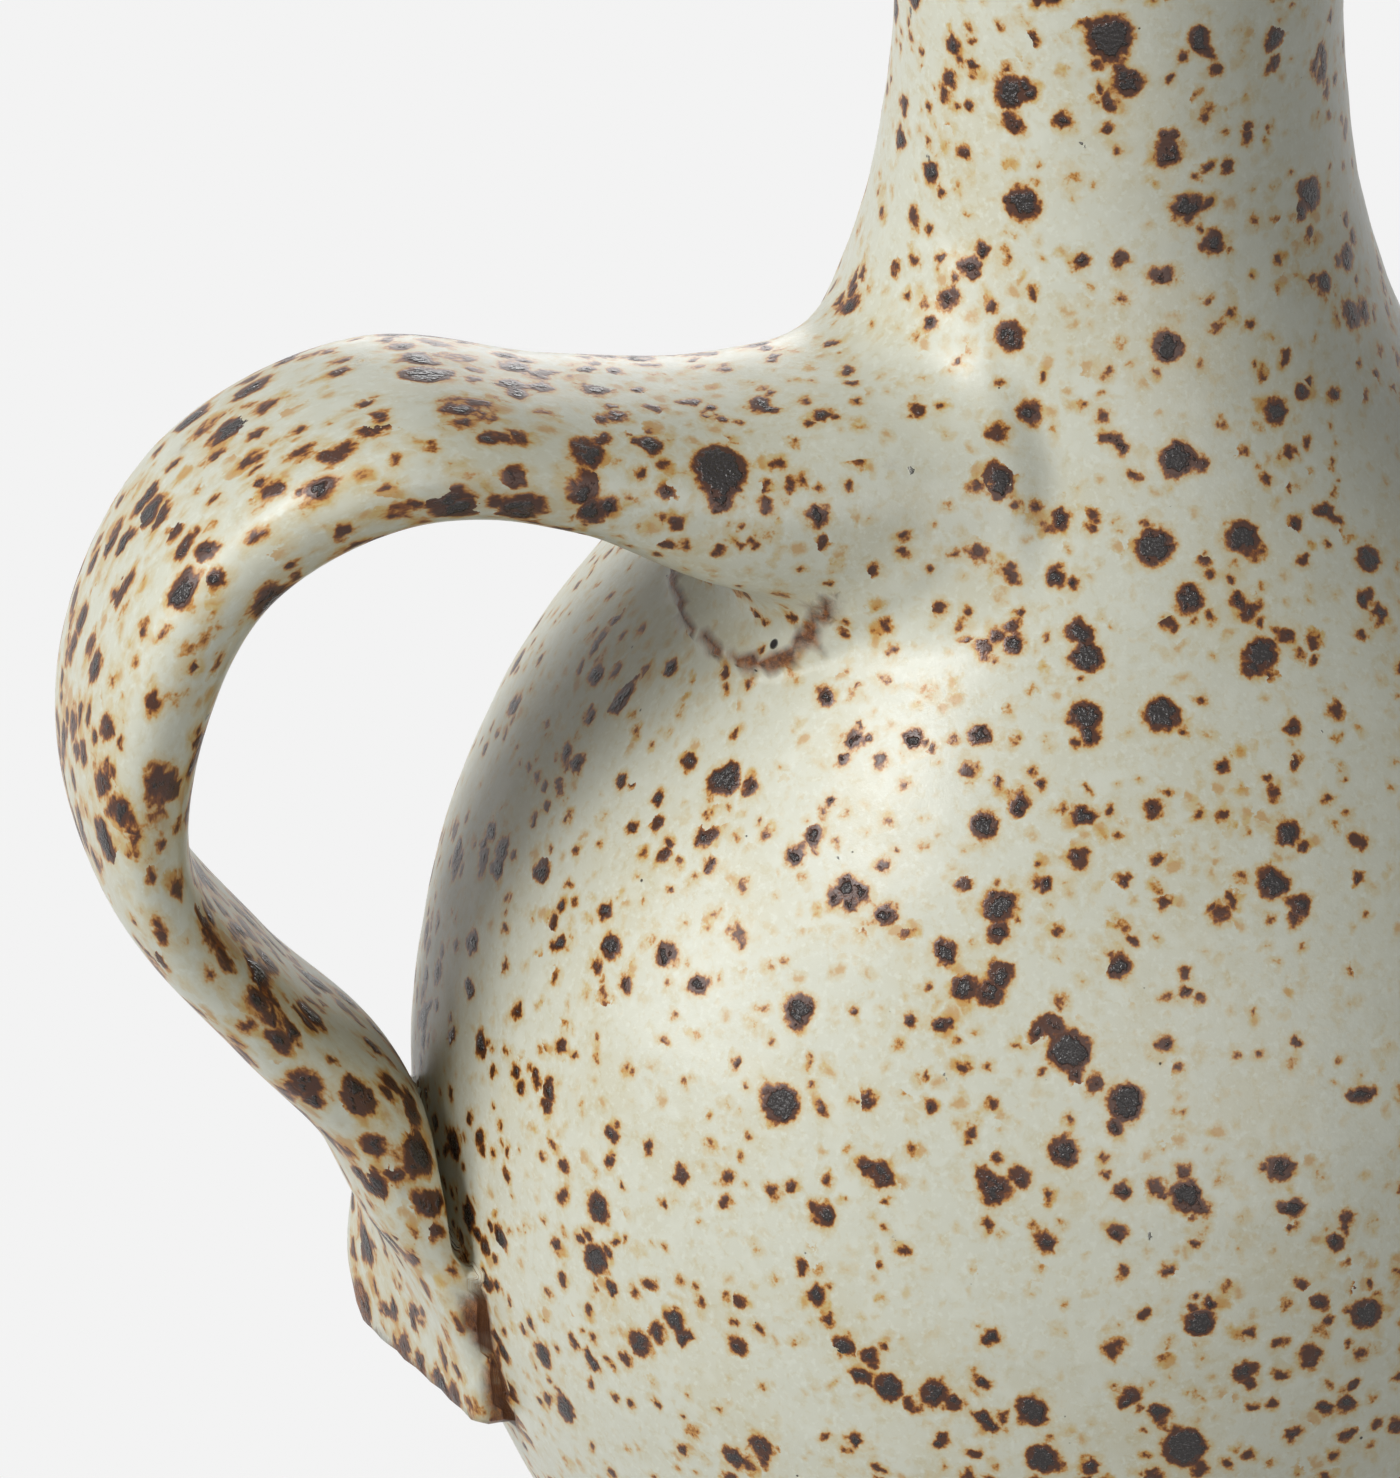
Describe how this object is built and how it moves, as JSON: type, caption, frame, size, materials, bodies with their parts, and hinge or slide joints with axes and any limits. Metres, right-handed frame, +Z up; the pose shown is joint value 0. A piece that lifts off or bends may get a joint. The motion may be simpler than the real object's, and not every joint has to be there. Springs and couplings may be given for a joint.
{
  "type": "stoneware vase",
  "caption": "Round-bellied stoneware bottle vase with a narrow neck, a turned foot and a pulled strap handle, in a speckled oatmeal glaze.",
  "frame": {"origin": "middle of the foot ring's resting face, on the vessel's axis", "axes": "+Z up through the neck, the handle stands out along -X"},
  "size_m": [0.2013, 0.161, 0.2505],
  "materials": {
    "clay": "bare iron-bearing stoneware clay, matt and slightly gritty",
    "slip": "fired clay slip",
    "outer_glaze": "satin oatmeal glaze with iron speckle",
    "liner_glaze": "satin oatmeal liner glaze with fine speckle"
  },
  "bodies": {
    "root": {"globe_body": "clay", "neck_section": "clay", "neck_joint_slip": "slip", "handle": "clay", "upper_handle_slip": "slip", "lower_handle_slip": "slip", "outer_glaze": "outer_glaze", "liner_glaze": "liner_glaze"}
  },
  "joints": []
}
